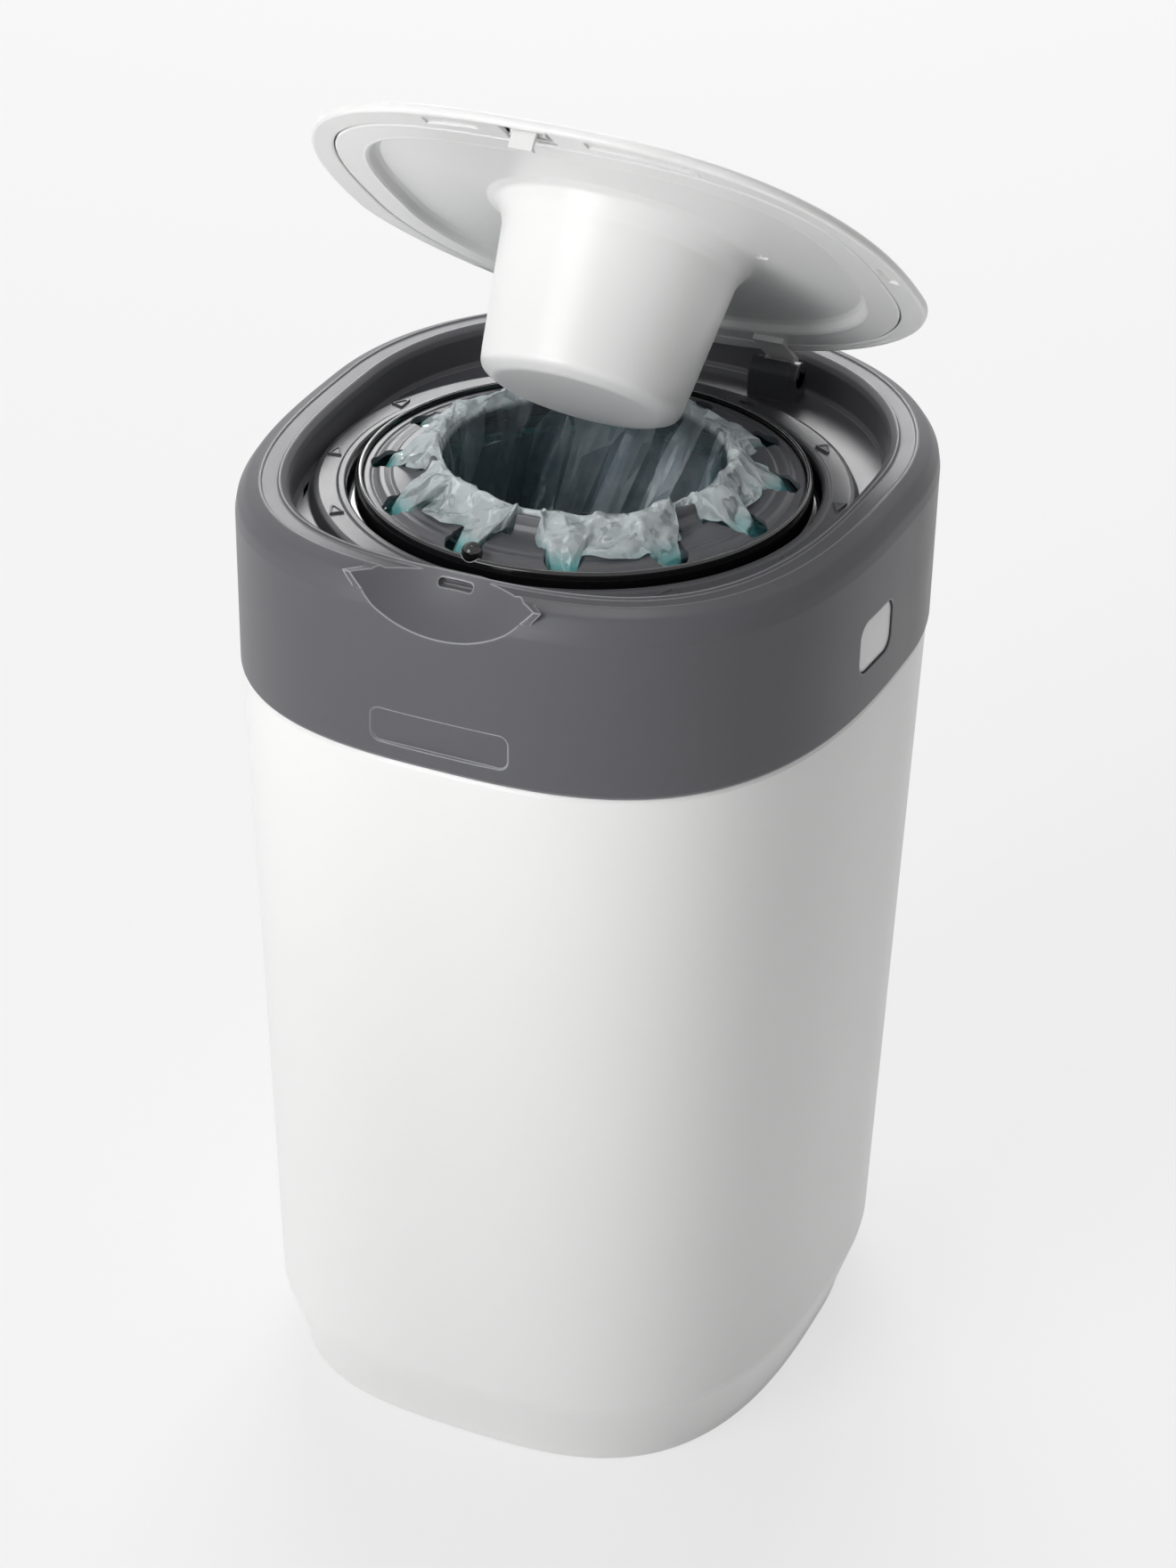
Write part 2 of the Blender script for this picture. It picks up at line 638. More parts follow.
def make_deck():
    low, z0, hole_r = DECK - 2.4, ANNULUS, 117.2
    rows = [HEAD.toward_circle(11, z, 0, 1) for z in (low, DECK)]
    for blend in (0, 0.5, 0.85, 1):
        rows.append(HEAD.toward_circle(26, DECK, blend, hole_r))
    for r, z in fillet([(116.4, DECK, 0), (114.6, DECK, 1.2), (112.9, z0 - 0.8, 1.4), (110.6, z0, 1),
                        (103.4, z0, 0.8), (102.4, z0 + 0.7, 0.5), (100.2, z0 + 0.7, 0.6), (99.3, z0 - 0.3, 0.4),
                        (99.2, z0 - 3, 0.4), (111, z0 - 3, 1), (112.6, low, 0.8), (114, low, 0)]):
        rows.append(HEAD.toward_circle(26, z, 1, r))
    rows.append(HEAD.toward_circle(26, low, 0.5, hole_r))
    parts = [grid(rows, loop_rows=True)]
    # arrows with raised rims, one for each finger
    rim = np.array([(-3.0, 3.9), (3.0, 3.9), (0.5, -3.7), (-0.5, -3.7)])
    bed = np.array([(-1.9, 3.0), (1.9, 3.0), (0.3, -1.9), (-0.3, -1.9)])
    for k in range(FINGERS):
        a = math.radians(11.5 + FINGER_STEP * k)
        arrow = []
        for p, dz in ((rim, -0.3), (rim, 0.75), (rim * 0.94, 1.0), (bed * 1.08, 1.0), (bed, 0.55)):
            x, y = 107.2 + p[:, 0], p[:, 1]
            arrow.append(np.column_stack([x * math.cos(a) - y * math.sin(a),
                                          RING_Y + x * math.sin(a) + y * math.cos(a), np.full(4, z0 + dz)]))
        parts.append(grid(arrow, cap_start=True, cap_end=True))
    # housings that carry the lid: two cheeks, a front wall and a hood each
    py, pz = LID_PIVOT[1:]
    foot, outer, inner = DECK - 0.5, LID_HOUSING_R, LID_HOUSING_R - 1.5
    arc = [math.radians(t) for t in np.linspace(180, 100, 13)]
    hood = [(py + outer * math.cos(t), pz + outer * math.sin(t)) for t in arc]
    hood += [(py + inner * math.cos(t), pz + inner * math.sin(t)) for t in arc[::-1]]
    hood += [(py - inner, foot), (py - outer, foot)]
    for side in (-1, 1):
        for x0, x1 in ((25, 29), (43.6, 47.6)):
            a, b = on_side(side, x0, x1)
            parts.append(bar(a, b, py, pz, outer))
            parts.append(box(a, b, py - outer, py + outer, foot, pz))
        parts.append(prism(hood, 0, *on_side(side, 28.9, 43.7)))
    deck = mesh_object("deck_visual", *join(parts), DECK_GREY, 30)
    recalc(deck)
    return resmooth(deck, 30)


# ---------- turning ring ----------


def around_ring(points, angle):
    """Points drawn for a finger along +X, turned to the finger's angle in degrees."""
    p = np.asarray(points, float)
    c, s = math.cos(math.radians(angle)), math.sin(math.radians(angle))
    out = p.copy()
    out[:, 0] = p[:, 0] * c - p[:, 1] * s
    out[:, 1] = RING_Y + p[:, 0] * s + p[:, 1] * c
    return out


KNOB_AT = around_ring([(91.8, 0, 430.5)], KNOB_ANGLE)[0]


def make_ring():
    floor, root_r, tip_r, teeth = RIM - 63.2, 95.2, 96.9, 60
    section = fillet([
        (66, floor, 0), (95.6, floor, 0.4), (95.6, 415, 0.2), (101.1, 415.4, 0.3), (101.1, 418.4, 0.3),
        (95.7, 419, 0.3), (95.6, 426.4, 0.8), (94.9, 428.6, 1.2), (93.9, 429.4, 0.1), (93.0, 429.2, 0.1),
        (92.6, 427.6, 0.4), (92.5, PLATE_SEAT, 0.2), (91, PLATE_SEAT, 0.4), (91, floor + 2.4, 0.5),
        (66, floor + 2.4, 0),
    ])
    parts = [turned(section, 320), sphere(KNOB_AT, KNOB_R, 32, 48)]
    for k in range(teeth):
        a0, a1 = math.radians(360 / teeth * k), math.radians(360 / teeth * (k + 0.9))
        shape = [(root_r * math.cos(a0), root_r * math.sin(a0)), (tip_r * math.cos(a1), tip_r * math.sin(a1)),
                 (root_r * math.cos(a1 + 0.008), root_r * math.sin(a1 + 0.008))]
        parts.append(prism(np.array(shape) + np.array([0, RING_Y]), 2, 388, 394))
    obj = mesh_object("turning_ring_visual", *join(parts), BLACK, 40)
    recalc(obj)
    return resmooth(obj, 40)


# ---------- fingers ----------


SLOT_HALF = 8.0
SLOT_END = 90.0
FINGER_PHASE = 3.2
TIP_R = 68.4
TAB_TOP = [(90, 428.6), (80, 429.2), (69.4, 429.2), (66.4, 430.0), (64.8, 432.6), (63.7, 436.6),
           (62.2, 436.6)]


def tab_z(r):
    """Height of the plate, or of a finger's tab where r is less than the finger's tip."""
    rr, zz = zip(*sorted(TAB_TOP))
    return np.interp(r, rr, zz)


def make_fingers():
    s = PLATE_SEAT
    top = [(92.4, s, 0), (92.4, s + 2.6, 0.5), (91.6, s + 3.2, 0.4), (89.6, s + 3.2, 0.8), (88.4, s + 2.5, 0.8),
           (86.6, s + 3.4, 0.8), (85.4, s + 4.5, 0.6), (83.6, s + 4.7, 0.6), (80.9, s + 4.2, 0.6),
           (79.6, s + 5.1, 0.6), (70, s + 5.2, 0.4), (TIP_R, s + 5.2, 0.5), (TIP_R, s + 3.6, 0.3),
           (79, s + 3.4, 0.5), (85, s + 2.4, 1), (88.4, s, 0)]
    obj = mesh_object("finger_plate_visual", *turned(fillet(top, 3), 360), FINGER)
    recalc(obj)
    # slots, open towards the throat and round at their outer ends
    end = SLOT_END - SLOT_HALF
    turn = np.linspace(-math.pi / 2, math.pi / 2, 17)
    slot = [(end + SLOT_HALF * math.cos(v), SLOT_HALF * math.sin(v)) for v in turn]
    slot = [(50, -SLOT_HALF)] + slot + [(50, SLOT_HALF)]
    for k in range(FINGERS):
        cut(obj, prism(around_ring(slot, FINGER_PHASE + FINGER_STEP * k + FINGER_STEP / 2), 2, 415, 445))
    parts = [take(obj)]
    # a tab that stands up at each finger's tip, and a pip on the finger
    tab = fillet([(70.4, s + 5.1, 0), (66.4, s + 6, 2.5), (64.8, s + 8.6, 1.6), (63.7, s + 12.6, 0.5),
                  (62.2, s + 12.6, 0.5), (63.4, s + 8, 2), (65.4, s + 4.8, 1.5), (68, s + 3.7, 1),
                  (70.4, s + 3.7, 0)], 4)
    t = circle(24)
    for k in range(FINGERS):
        angle = FINGER_PHASE + FINGER_STEP * k
        rows = []
        for y, shrink in ((-5.5, 0.35), (-5.15, 0.0), (5.15, 0.0), (5.5, 0.35)):
            row = np.array([(r, y, z) for r, z in tab])
            mid = row.mean(0)
            rows.append(around_ring(row + (mid - row) * np.array([shrink, 0, shrink]) * 0.35, angle))
        parts.append(grid(rows, cap_start=True, cap_end=True))
        for rad, high in ((1.5, 0.3), (0.7, 0.8)):
            pip = [np.column_stack([75.5 + rr * np.cos(t), rr * np.sin(t), np.full(24, s + 5.1 + dz)])
                   for rr, dz in ((rad, -1.0), (rad, high - 0.15), (rad - 0.15, high))]
            parts.append(grid([around_ring(row, angle) for row in pip], cap_start=True, cap_end=True))
    obj = mesh_object("finger_plate_visual", *join(parts), FINGER, 30)
    recalc(obj)
    cut(obj, sphere(KNOB_AT, KNOB_R + 0.35, 24, 32))
    paint(obj, FINGER)
    return resmooth(obj, 30)


# ---------- film ----------

# How far out the film lies over each finger, and how much it billows in each slot
FINGER_REACH = (77.5, 69.5, 68, 70, 70, 70, 72.5, 64.5, 79.5, 62, 84, 65)
SLOT_BILLOW = (0.6, 0.5, 1.0, 1.0, 1.0, 2.6, 2.6, 2.2, 0.2, 0.8, 1.6, 1.4)
FILM_RIM = (60.2, 437.6)


def film_folds(u, depth):
    """Shift in angle and in radius of each column: pleats that double back, so that three layers overlap."""
    rng = np.random.default_rng(11)
    at = (np.arange(11) + rng.uniform(-0.25, 0.25, 11)) / 11
    size = rng.uniform(0.26, 0.52, 11)
    lean = rng.uniform(-0.00025, 0.00045, 11)
    back, side = np.zeros_like(u), np.zeros_like(u)
    for centre, amount, slope in zip(at, size, lean):
        x = (np.mod(u - centre - slope * depth + 0.5, 1) - 0.5) / 0.011
        back -= amount * x * np.exp(-x * x)
        side += np.tanh(1.2 * x) * np.exp(-(x / 3) ** 2)
    return back, side


def film_lining(u):
    """Rows from the neck below the grip up to the rim."""
    route = [(9.5, 318), (12.5, 333), (15.5, 352), (20, 359.5), (32, 363.6), (49, 371.4), (55.6, 384),
             (57.2, 405), (58.2, 430), (59.0, 434.5), FILM_RIM]
    r0, z0 = np.array(route).T
    run = np.concatenate([[0], np.cumsum(np.hypot(np.diff(r0), np.diff(z0)))])
    at = np.linspace(0, run[-1], 84)
    rows = []
    for r, z, d in zip(np.interp(at, run, r0), np.interp(at, run, z0), at[-1] - at):
        folded = smoothstep(1.0, 16, d)
        back, side = film_folds(u, d)
        a = 2 * np.pi * u + back * folded + 0.0042 * d
        flat = (ripple(facets, u, 22, d / 55, 9, d / 60) * 1.5
                + ripple(facets, u, 41, d / 34, 8, -d / 90) * 0.7)
        fine = (ripple(facets, u, 64, d / 9, 21, d / 25) * 0.28
                + ripple(facets, u, 53, d / 6, 22, -d / 16) * 0.22)
        crinkled = smoothstep(-0.1, 0.5, ripple(noise, u, 7, d / 45, 23))
        rr = r + side * 1.1 * folded + (flat - 1.6) * folded
        rr = rr + fine * (0.3 + 0.7 * crinkled) * smoothstep(0, 8, d)
        rr = np.clip(rr, 0.35 * r, r + 0.9)
        z = z + 0.5 * ripple(noise, u, 30, d / 9, 12) * smoothstep(0, 10, d)
        rows.append(np.column_stack([rr * np.cos(a), RING_Y + rr * np.sin(a), z]))
    return rows


def film_over(u):
    """Rows from the rim outwards: over or behind the fingers, and down through the slots between them."""
    a = 2 * np.pi * u
    deg = np.degrees(a) - FINGER_PHASE
    k = np.floor(deg / FINGER_STEP + 0.5).astype(int)
    phi = deg - FINGER_STEP * k
    from_slot = FINGER_STEP / 2 - np.abs(phi)
    reach = np.array(FINGER_REACH)[k % FINGERS]
    billow = np.array(SLOT_BILLOW)[np.floor(deg / FINGER_STEP).astype(int) % FINGERS]
    edge_reach = 74.5 + 3.5 * ripple(noise, u, 31, 2, 31)
    bare = np.minimum(reach, edge_reach)
    spill = smoothstep(3.5 + 1.5 * ripple(noise, u, 24, 0, 36), 8.2, np.abs(phi))
    reach = reach + (edge_reach - reach) * spill * np.where(reach < 80, 1, 0.3)
    reach = np.maximum(reach, bare) + 1.2 * ripple(noise, u, 60, 0, 32)
    over = smoothstep(64.2, 67.2, reach)
    # the way down a slot, the way behind a bare finger, and the way over a covered one, all from the rim
    rim_r, rim_z = FILM_RIM
    knots = np.array([0, 0.16, 0.34, 0.56, 0.78, 1.0])
    slot_r, slot_z = [rim_r, 63.0, 67.5, 74.5, 81.5, 87.4], [rim_z, 438.2, 436.4, 432.2, 427.6, 419.5]
    under_r, under_z = [rim_r, 61.1, 61.5, 61.6, 61.6, 61.6], [rim_z, 437.2, 435.4, 433, 430, 426]
    over_r, over_z = [rim_r, 62.4, 64.4, 66.6, 70.5, 90], [rim_z, 438.4, 437.6, 434.2, 430.9, 430.2]
    rows, steps = [], 45
    for i in range(1, steps + 1):
        f = i / steps
        rs, zs = np.interp(f, knots, slot_r), np.interp(f, knots, slot_z)
        ru, zu = np.interp(f, knots, under_r), np.interp(f, knots, under_z)
        ro = rim_r + (reach - rim_r) * f ** 1.15
        zo = np.interp(ro, over_r, over_z)
        rest = tab_z(ro) + 0.45
        zo = np.maximum(zo + (rest - zo) * smoothstep(0.7, 1, f), rest)
        rf, zf = ru + (ro - ru) * over, zu + (zo - zu) * over
        half = math.degrees(math.asin(SLOT_HALF / rs))
        spread = np.interp(f, [0, 0.5, 0.8, 1], [3.0, 2.6, 0.5, 0.2]) + 0.7 * ripple(noise, u, 36, f * 4, 33)
        w = smoothstep(half + spread, half + spread - 2.6, from_slot)
        lump = billow * np.exp(-((f - 0.4) / 0.2) ** 2) * np.cos(np.clip(from_slot / 13, 0, 1) * np.pi / 2)
        r, z = rf + (rs - rf) * w, zf + (zs - zf) * w + lump
        strength = np.interp(f, [0, 0.12, 0.5, 1], [0.2, 0.8, 1, 0.5]) * np.maximum(over, w)
        fold = ripple(facets, u, 44, f * 3.3, 41, 2.2 * f) * 2.3
        fold += ripple(facets, u, 61, f * 5.7, 42, -2.7 * f) * 1.5
        fold += ripple(facets, u, 128, f * 13, 43, 3 * f) * 0.6
        z = z + (fold * w + np.maximum(fold + 1.4, 0) * (1 - w)) * strength
        r = r + 1.3 * ripple(facets, u, 52, f * 6, 44) * strength
        rim_line = 0.8 * ripple(facets, u, 48, 0, 45) + (1.1 + 0.5 * np.sin(a)) * ripple(facets, u, 19, 0, 46)
        rim_line = (rim_line + 0.8) * (1 - smoothstep(0.12, 0.4, f))
        z = np.clip(z + rim_line, 415, 441.8)
        swing = 0.035 * ripple(noise, u, 20, f * 3, 47) * smoothstep(0.1, 0.6, f)
        swing = a + swing * (1 - w * smoothstep(0.6, 0.9, f))
        rows.append(np.column_stack([r * np.cos(swing), RING_Y + r * np.sin(swing), z]))
    return rows


def make_film():
    """Lining of the throat, gathered rim, and film over the fingers and in the slots, as one sheet."""
    columns = 900
    u = np.linspace(0, 1, columns + 1)[:-1]
    verts, faces = grid(film_lining(u) + film_over(u))
    return mesh_object("film_visual", verts, faces, FILM, 0)


def make_pack():
    """Folded film in its tray."""
    outer_r, inner_r, bottom, pitch, pleats = 89.6, 69.4, 377.9, 0.5, 61
    a = circle(360)
    rows = []
    for k in range(pleats):
        r = (outer_r if k % 2 else inner_r) + 0.5 * noise(a * 40 / (2 * np.pi), 0 * a + k, 51, 40)
        z = bottom + pitch * k + 0.12 * noise(a * 20 / (2 * np.pi), 0 * a + k * 0.7, 52, 20)
        rows.append(np.column_stack([r * np.cos(a), RING_Y + r * np.sin(a), z]))
    return mesh_object("film_pack_visual", *grid(rows), PACK, 20)


# ---------- lid ----------


def make_lid():
    e = LID_EDGE
    rows = [LID.row(24, e + 9.8, 0.2), LID.row(24, e + 9, 0.5), LID.row(24, e + 6.3)]
    inner = fillet([(24, e + 6.3, 0), (14, e + 5.2, 3), (5, e + 4, 2), (2, e + 3, 0.6), (2, e + 1.8, 0.3),
                    (3.4, e + 1.8, 0)], 4)
    rows += [LID.row(*c) for c in inner[1:]]
    rebate = fillet([(-1.5, SEAM_Z + 1.6, 0), (0.1, SEAM_Z + 1.6, 0.3), (0.1, SEAM_Z + 0.3, 0.3),
                     (-0.7, SEAM_Z, 0.3), (-2.5, SEAM_Z, 0)], 4)
    rows += [SEAM.row(*c) for c in rebate]
    outer = fillet([(3, e + 0.1, 0), (1.5, e, 0.4), (0.3, e + 0.5, 0.6), (0, e + 1.4, 0.5), (0, e + 2.8, 0.7),
                    (0.6, e + 3.9, 0.7), (2.5, e + 4.7, 1.5), (5, e + 5.4, 2), (14, e + 6.6, 5),
                    (24, e + 7.7, 0)], 5)
    rows += [LID.row(*c) for c in outer]
    for s, z in ((0.85, 8.6), (0.7, 9.4), (0.5, 10.4), (0.3, 11.0), (0.1, 11.3)):
        rows.append(LID.row(24, e + z, s))
    shell = mesh_object("lid_shell_visual", *grid(rows, cap_start=True, cap_end=True), WHITE)
    recalc(shell)
    cut(shell, box(-10.3, 10.3, LID_FRONT + 2.3, LID_FRONT + 15.9, e - 1, e + 3.7))
    # shallow recesses on either side of the catch, each with a rib at its end
    for x0, x1 in ((-46, -22), (24, 66)):
        strip = []
        for inset in (4.6, 11.4):
            xs = np.linspace(x0, x1, 25)
            strip.append(np.column_stack([xs, LID.y_front(xs, inset)]))
        ring = np.vstack([strip[0], strip[1][::-1]])
        cut(shell, prism(ring, 2, e - 1, e + 1.3))
    for x in (-46, 66):
        y = float(LID.y_front(np.array([x]), 8)[0])
        cut(shell, ("UNION", box(x - 0.8, x + 0.8, y - 3.6, y + 3.6, e + 0.2, e + 2)))
    cut(shell, side_recess())
    paint(shell, WHITE)
    swing_open(shell)
    return resmooth(shell, 35)


def side_recess():
    """The shallow recess under the lid's right edge."""
    ys = np.linspace(-42, -26, 9)
    outer, inner = [np.column_stack([LID.x_at(ys, inset), ys]) for inset in (3.6, 8.4)]
    return prism(np.vstack([outer, inner[::-1]]), 2, LID_EDGE - 1, LID_EDGE + 1.6)


def make_liner():
    edge, s, top, zl, bottom = 0.8, SEAM_Z, LINER_TOP, LINER_Z, CUP_BOTTOM
    above = fillet([(12.6, s + 1.6, 0), (14.4, s + 3.6, 1), (17.4, top - 0.2, 1.5), (19, top, 0)], 4)
    below = fillet([(19.6, zl, 0), (18.4, zl, 1.4), (16.4, s + 3.4, 1.8), (14.9, s + 0.6, 1.0),
                    (13.6, s - 0.2, 0.7), (12.4, s, 0.6), (edge + 0.6, s, 0.5), (edge, s + 0.5, 0.4),
                    (edge, s + 1.6, 0)], 5)
    rows = [SEAM.row(i, z) for i, z in above]
    for f in (0.25, 0.5, 0.75, 1.0):
        rows.append(SEAM.toward_circle(19, top, f, 62))
    inner = [(58, top - 0.1, 0), (54.6, top - 0.6, 2), (51.4, zl - 3, 4), (48.6, zl - 9, 4),
             (40.8, bottom + 8, 4), (37.4, bottom + 2.2, 3), (0.5, bottom + 2.2, 0)]
    outer = [(0.5, bottom, 0), (1.1, bottom, 0), (35.5, bottom, 8), (42.4, bottom + 3.2, 8),
             (43.4, bottom + 9, 6), (50.0, zl - 10, 5), (51.8, zl - 6, 4), (54.8, zl - 1.4, 4), (59.5, zl, 3),
             (62, zl, 0)]
    for r, z in fillet(inner, 6) + fillet(outer, 8):
        rows.append(SEAM.toward_circle(19, z, 1, r))
    for f in (0.75, 0.5, 0.25):
        rows.append(SEAM.toward_circle(19.6, zl, f, 62))
    rows += [SEAM.row(i, z) for i, z in below]
    parts = [grid(rows, loop_rows=True)]
    # gate mark under the cup
    t = circle(24)
    mark = [np.column_stack([r * np.cos(t), RING_Y + r * np.sin(t), np.full(24, bottom + dz)])
            for r, dz in ((1.0, 0.3), (1.0, -0.25), (0.6, -0.45))]
    parts.append(grid(mark, cap_start=True, cap_end=True))
    liner = mesh_object("lid_liner_visual", *join(parts), LINER)
    recalc(liner)
    front, rear, high, low = 112.6, 117.4, LID_EDGE - 0.2, 436.6
    for side in (-1, 1):
        x0, x1 = on_side(side, 29.3, 43.3)
        neck = prism([(90, low), (front, low), (front, LID_PIVOT[2]), (rear, LID_PIVOT[2]), (rear, high),
                      (99.4, high), (99.4, high + 0.9), (90, high + 0.9)], 0, x0, x1)
        hollow = box(x0 + 1.6, x1 - 1.6, front - 1, rear - 1.6, 434.2, low)
        arm = mesh_object("arm", *neck)
        recalc(arm)
        cut(arm, hollow, ("UNION", bar(x0, x1, LID_PIVOT[1], LID_PIVOT[2], LID_ARM_R)))
        cut(liner, ("UNION", take(arm)))
    cut(liner, bar(-60, 60, LID_PIVOT[1], LID_PIVOT[2], LID_PIN_BORE_R))
    # small round dimple at the root of the cup
    cut(liner, turned([(0.3, zl - 3), (2.9, zl - 3), (2.9, zl + 0.8), (0.3, zl + 0.8)], 32, (60.0, RING_Y)))
    paint(liner, LINER)
    swing_open(liner)
    return resmooth(liner, 35)


def make_catch():
    """Bar, three round ribs and a leg with a hook, in the cut-out of the lid's front edge."""
    y, e = LID_FRONT, LID_EDGE
    leg, top = y + 4.9, e + 3.4
    parts = [box(-9.7, 9.7, y + 13, y + 15.4, e + 1, top)]
    for x in (-6, 0, 6):
        parts.append(bar(x - 1.3, x + 1.3, y + 9, e + 1.9, 1.5, 24, 0.3))
        parts.append(box(x - 0.8, x + 0.8, leg, leg + 9, top - 1.6, top))
    parts.append(box(-6.8, 6.8, leg, leg + 1.6, top - 2.4, top))
    parts.append(box(-5, 5, leg, leg + 1.6, RIM - 5, top - 0.2))
    hook = [(leg + 1.5, RIM - 5), (leg + 3.9, RIM - 4.5), (leg + 3.9, RIM - 4), (leg + 1.5, RIM - 3.4)]
    parts.append(prism(hook, 0, -5, 5))
    obj = mesh_object("lid_catch_visual", *join(parts), LINER, 30)
    recalc(obj)
    swing_open(obj)
    return resmooth(obj, 30)


# ---------- buttons ----------


def make_button(side):
    rows = []
    ring = rounded_rect(32.2, 23.2, 6.6, 12)
    for scale, inset in ((0.02, 0.75), (0.3, 0.75), (0.6, 0.78), (0.85, 0.82), (0.955, 0.9), (0.985, 1.15),
                         (1, 1.7), (1, 6.6)):
        u, z = ring[:, 0] * scale + BUTTON_Y, ring[:, 1] * scale + BUTTON_Z
        rows.append(np.column_stack([side * HEAD.x_at(u, inset), u, z]))
    back = rows[-1].copy()
    back[:, 0] = side * 129.3
    rows.append(back)
    parts = [grid(rows, cap_start=True, cap_end=True)]
    flange = rounded_rect(35.6, 26.6, 8) + np.array([BUTTON_Y, BUTTON_Z])
    parts.append(prism(flange, 0, *on_side(side, 127.5, 129.4)))
    # block behind the flange, the leg under it and the hook at the leg's end
    for x1, z0, z1 in ((127.5, BUTTON_Z - 8, BUTTON_Z + 8), (127.0, SHOULDER + 3, BUTTON_Z - 7.9),
                       (127.6, SHOULDER + 3, SHOULDER + 6)):
        parts.append(box(*on_side(side, 124.4, x1), BUTTON_Y - 6, BUTTON_Y + 6, z0, z1))
    name = "left_button_visual" if side < 0 else "right_button_visual"
    obj = mesh_object(name, *join(parts), BUTTON, 40)
    recalc(obj)
    return resmooth(obj, 40)


# ---------- bodies, replaced nodes and soft pieces ----------


def place(obj, body, node):
    """The object moves with the body and stands in for the node."""
    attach(obj, body)
    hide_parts(node)
    return obj


place(make_tub(), "tub_body", "tub")
place(make_collar(), "head", "head_collar")
place(make_deck(), "head", "deck")
place(make_ring(), "ring", "turning_ring")
place(make_fingers(), "ring", "finger_plate")
film = place(make_film(), "ring", "film")
pack = place(make_pack(), "ring", "film_pack")
place(make_lid(), "lid", "lid_shell")
place(make_liner(), "lid", "lid_liner")
place(make_catch(), "lid", "lid_catch")
place(make_button(-1), "left_release", "left_button")
place(make_button(1), "right_release", "right_button")


for node, material in {
    "head_hinge_pin": STEEL, "deck_screws": STEEL, "well_screws": STEEL, "cassette_well": DARK,
    "film_grip": RUBBER, "click_pawl": STEEL, "lid_hinge_pins": STEEL, "cassette_tray": TRAY,
    "left_button_spring": STEEL, "right_button_spring": STEEL,
}.items():
    paint(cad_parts[node], material)


# ---------- floor, light and camera ----------


BACKGROUND = 0.913


def seen_directly(n):
    """1 for rays from the camera and for those that mirrors and glass pass on."""
    path = n.add("LightPath")
    seen = n.math("MAXIMUM", path.outputs["Is Camera Ray"], path.outputs["Is Glossy Ray"])
    return n.math("MAXIMUM", seen, path.outputs["Is Transmission Ray"])


def floor_material():
    """Matt white, most of it shown as the plain background, so that only soft shadows stand out."""
    n = Nodes("floor")
    shade = n.ramp(n.noise(1.3, 2.0), 0.985, 1.0, 0.3, 0.7)
    colour = n.mix(shade, (0.85, 0.85, 0.85, 1), (0.88, 0.88, 0.88, 1))
    lit = n.add("BsdfPrincipled", {"Base Color": colour, "Roughness": 0.9, "Specular IOR Level": 0.1})
    plain = n.add("Emission", {"Color": opaque([BACKGROUND] * 3), "Strength": 1.0}).outputs["Emission"]
    part = n.math("MULTIPLY", seen_directly(n), 0.72)
    return n.surface(n.add("MixShader", {0: part, 1: lit.outputs["BSDF"], 2: plain}).outputs["Shader"])


FAR = 6000
floor = mesh_object("floor", *grid([[(-FAR, y, 0), (FAR, y, 0)] for y in (-FAR, FAR)], loop_cols=False),
                    floor_material(), 0)


def make_world():
    """Soft light that fades from left to right; the camera, mirrors and glass see a plain background."""
    n = Nodes("studio", world=True)
    direct = seen_directly(n)
    soft = n.ramp(n.add("SeparateXYZ", {0: n.coord}).outputs["X"], 0.44, 0.2, -1.0, 1.0)
    soft = n.math("MULTIPLY", soft, n.ramp(direct, 1, 0))
    strength = n.math("MULTIPLY_ADD", direct, BACKGROUND, soft)
    light = n.add("Background", {"Color": (1, 1, 1, 1), "Strength": strength}).outputs["Background"]
    bpy.context.scene.world = n.surface(light)


make_world()


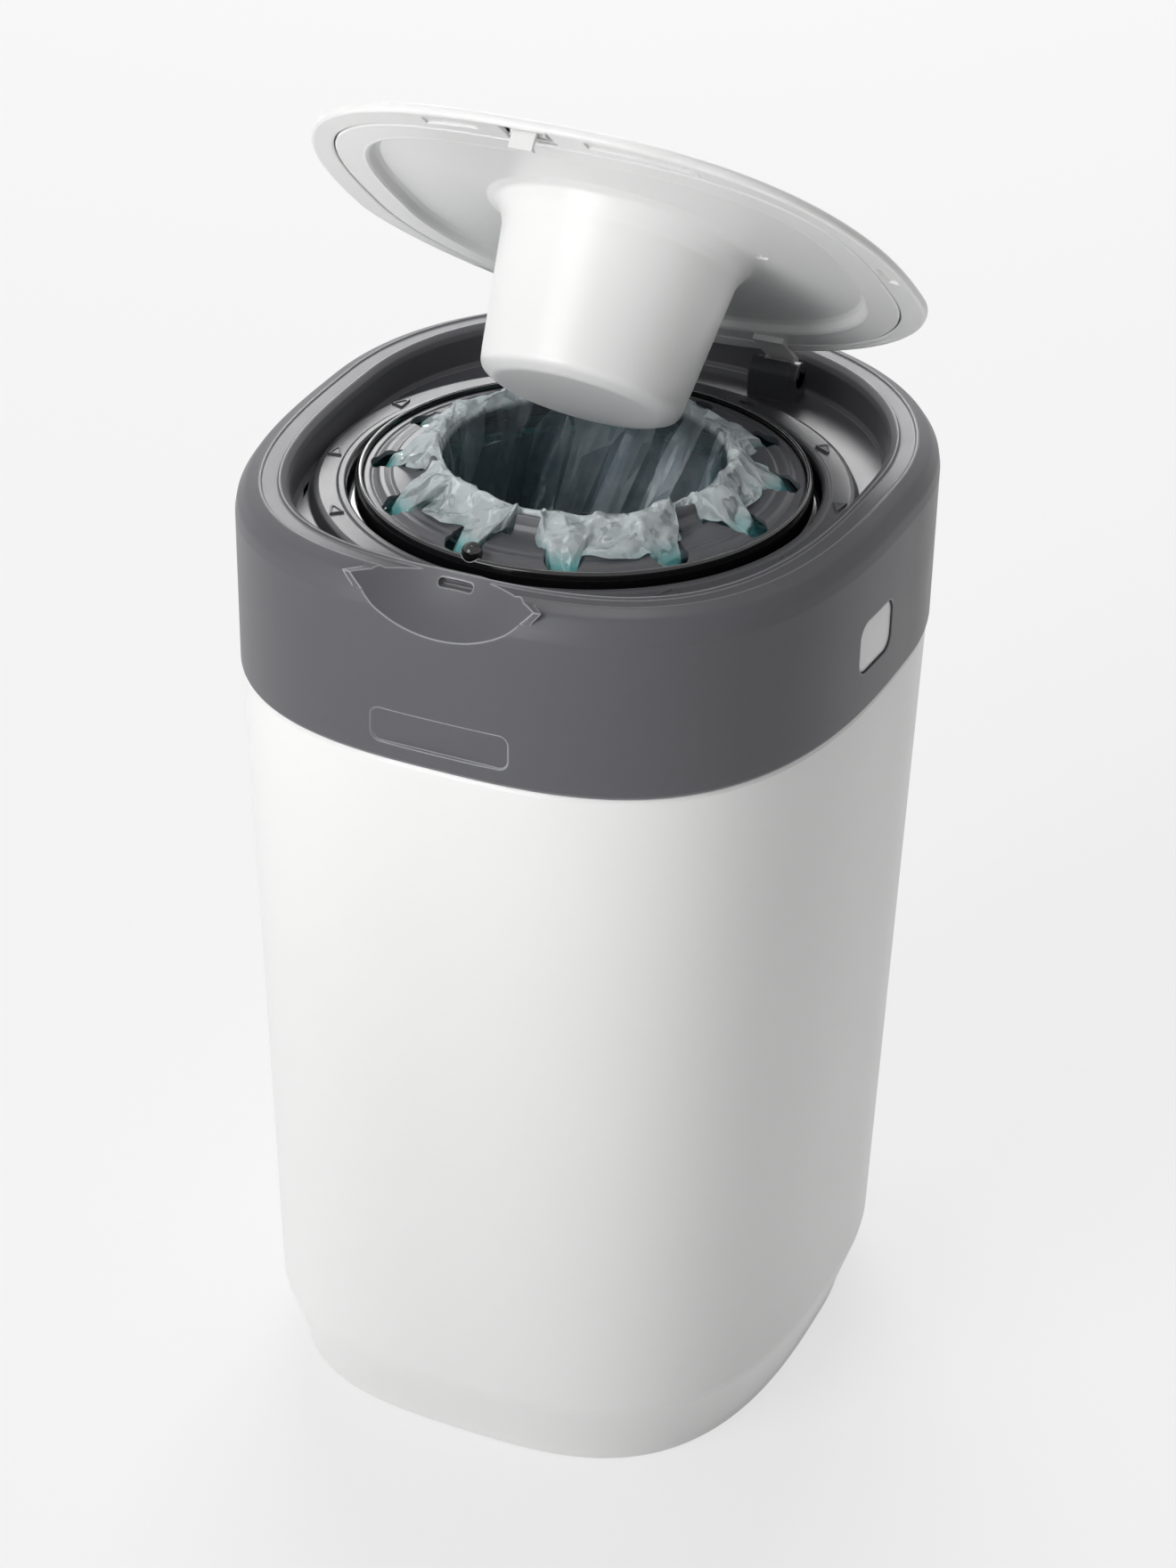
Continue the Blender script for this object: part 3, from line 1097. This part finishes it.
def lamp(name, place_at, look_at, size, watts, spread=180):
    """A rectangular area lamp; places and size in metres, spread in degrees."""
    data = bpy.data.lights.new(name, "AREA")
    data.shape, data.size, data.size_y, data.energy = "RECTANGLE", size[0], size[1], watts
    data.spread = math.radians(spread)
    obj = bpy.data.objects.new(name, data)
    bpy.context.scene.collection.objects.link(obj)
    at = mathutils.Vector(place_at)
    obj.location = at
    obj.rotation_euler = (mathutils.Vector(look_at) - at).to_track_quat("-Z", "Y").to_euler()


lamp("key", (-1.55, -3.75, 2.9), (0, 0, 0.25), (2.4, 2.2), 76)
lamp("low_fill", (-0.9, -3.4, 0.42), (0, 0, 0.42), (2.0, 0.8), 16)
lamp("lid_fill", (-0.62, -1.75, 0.4), (0, -0.05, 0.55), (0.7, 0.3), 0.3, 28)
lamp("back", (-1.35, 3.15, 2.5), (0, 0, 0.42), (2.4, 1.4), 85)
lamp("top", (-0.3, 0.45, 2.9), (0, 0, 0.42), (0.65, 0.65), 12)


def make_camera():
    """The camera fitted to the photograph; focal length and centre are in the photograph's pixels."""
    az, el, dist, roll = math.radians(23.17), math.radians(31.1), 1.57753, math.radians(1.29)
    wide, tall, sensor = 1320, 1760, 36
    f, cx, cy = 3935.37, 681.0, 900.81
    target = mathutils.Vector((0, 0.01805, 0.25))
    d = mathutils.Vector((math.sin(az) * math.cos(el), -math.cos(az) * math.cos(el), math.sin(el)))
    forward = -d
    right = forward.cross(mathutils.Vector((0, 0, 1))).normalized()
    up = right.cross(forward)
    right2 = right * math.cos(roll) + up * math.sin(roll)
    up2 = -right * math.sin(roll) + up * math.cos(roll)
    data = bpy.data.cameras.new("camera")
    obj = bpy.data.objects.new("camera", data)
    bpy.context.scene.collection.objects.link(obj)
    m = mathutils.Matrix((right2, up2, d)).transposed().to_4x4()
    m.translation = target + d * dist
    obj.matrix_world = m
    data.sensor_fit, data.sensor_width, data.lens = "HORIZONTAL", sensor, f * sensor / wide
    data.shift_x, data.shift_y = -(cx - wide / 2) / wide, (cy - tall / 2) / wide
    bpy.context.scene.camera = obj


make_camera()
scene = bpy.context.scene
scene.view_settings.view_transform = "Standard"
